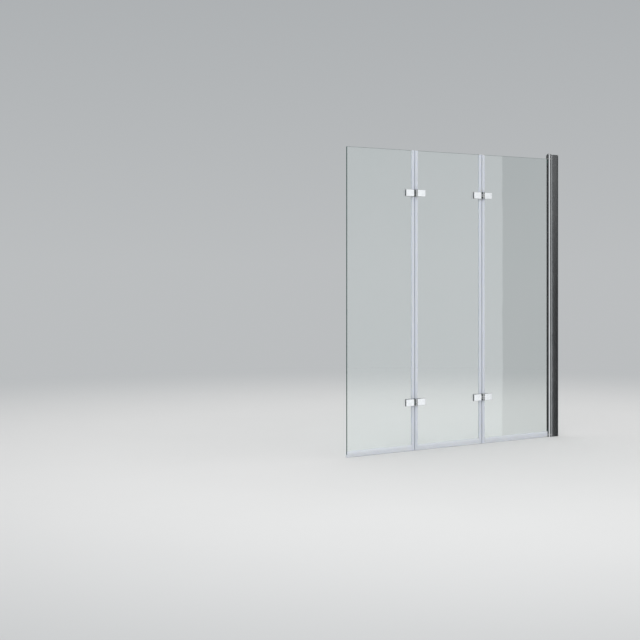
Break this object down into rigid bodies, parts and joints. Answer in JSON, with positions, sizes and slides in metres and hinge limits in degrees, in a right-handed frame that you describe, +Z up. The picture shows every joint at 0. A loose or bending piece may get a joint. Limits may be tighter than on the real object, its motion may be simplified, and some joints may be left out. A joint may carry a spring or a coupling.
{
  "type": "folding bath screen",
  "caption": "Clear glass folding bath screen: hinged frameless panels on a chrome wall pivot, sealed along the folds and the rim, folding flat against the end wall.",
  "frame": {"origin": "on the wall face, at the bottom end of the wall profile and in the middle of its width, level with the bath rim", "axes": "+X into the wall, so the open screen runs to -X; +Y over the bath, so -Y is the room side; +Z up along the profile"},
  "size_m": [1.34, 0.043, 1.4281],
  "materials": {
    "bright_chrome": "polished chrome on brass, zinc and aluminium, mirror bright",
    "anodised_channel": "dark anodised aluminium extrusion with fine lines along its length, satin",
    "stainless_steel": "turned stainless steel, satin",
    "clear_glass": "clear 6 mm toughened glass with polished green edges",
    "clear_pvc": "translucent bluish-white soft PVC, slightly glossy",
    "nylon": "natural white nylon, matte",
    "dark_rubber": "dark grey EPDM rubber, matte"
  },
  "bodies": {
    "wall_fixing": {"wall_channel": "anodised_channel", "wall_profile": "bright_chrome", "profile_screws": "stainless_steel", "profile_screw_caps": "bright_chrome", "top_bearing_cap": "bright_chrome", "bottom_bearing_cap": "bright_chrome", "top_pivot_pin": "stainless_steel", "bottom_pivot_pin": "stainless_steel", "bearing_screws": "stainless_steel", "profile_top_cover": "bright_chrome", "tube_gap_seal": "dark_rubber"},
    "wall_panel": {"pivot_tube": "bright_chrome", "top_bush": "nylon", "bottom_bush": "nylon", "room_side_gasket": "dark_rubber", "bath_side_gasket": "dark_rubber", "wall_glass": "clear_glass", "wall_glass_fold_seal": "clear_pvc", "wall_glass_drip_seal": "clear_pvc", "hinge_1_upper_leaf_wall_side": "bright_chrome", "hinge_1_upper_plate_wall_side": "bright_chrome", "hinge_1_upper_pin": "stainless_steel", "hinge_1_lower_leaf_wall_side": "bright_chrome", "hinge_1_lower_plate_wall_side": "bright_chrome", "hinge_1_lower_pin": "stainless_steel", "hinge_1_washers": "nylon", "hinge_1_pads_wall_side": "clear_pvc", "hinge_1_screws_wall_side": "stainless_steel"},
    "middle_panel": {"middle_glass": "clear_glass", "middle_glass_first_fold_seal": "clear_pvc", "middle_glass_second_fold_seal": "clear_pvc", "middle_glass_drip_seal": "clear_pvc", "hinge_1_upper_leaf_free_side": "bright_chrome", "hinge_1_upper_plate_free_side": "bright_chrome", "hinge_1_lower_leaf_free_side": "bright_chrome", "hinge_1_lower_plate_free_side": "bright_chrome", "hinge_1_pads_free_side": "clear_pvc", "hinge_1_screws_free_side": "stainless_steel", "hinge_2_upper_leaf_wall_side": "bright_chrome", "hinge_2_upper_plate_wall_side": "bright_chrome", "hinge_2_upper_pin": "stainless_steel", "hinge_2_lower_leaf_wall_side": "bright_chrome", "hinge_2_lower_plate_wall_side": "bright_chrome", "hinge_2_lower_pin": "stainless_steel", "hinge_2_washers": "nylon", "hinge_2_pads_wall_side": "clear_pvc", "hinge_2_screws_wall_side": "stainless_steel"},
    "outer_panel": {"outer_glass": "clear_glass", "outer_glass_fold_seal": "clear_pvc", "outer_glass_drip_seal": "clear_pvc", "hinge_2_upper_leaf_free_side": "bright_chrome", "hinge_2_upper_plate_free_side": "bright_chrome", "hinge_2_lower_leaf_free_side": "bright_chrome", "hinge_2_lower_plate_free_side": "bright_chrome", "hinge_2_pads_free_side": "clear_pvc", "hinge_2_screws_free_side": "stainless_steel"}
  },
  "joints": [
    {"name": "wall_pivot", "type": "hinge", "parent": "wall_fixing", "child": "wall_panel", "pos_m": [-0.054, 0, 0], "axis": [0, 0, -1], "range_deg": [0, 90]},
    {"name": "first_fold", "type": "hinge", "parent": "wall_panel", "child": "middle_panel", "pos_m": [-0.518, -0.015, 0], "axis": [0, 0, 1], "range_deg": [0, 180]},
    {"name": "second_fold", "type": "hinge", "parent": "middle_panel", "child": "outer_panel", "pos_m": [-0.943, 0.015, 0], "axis": [0, 0, -1], "range_deg": [0, 180]}
  ]
}
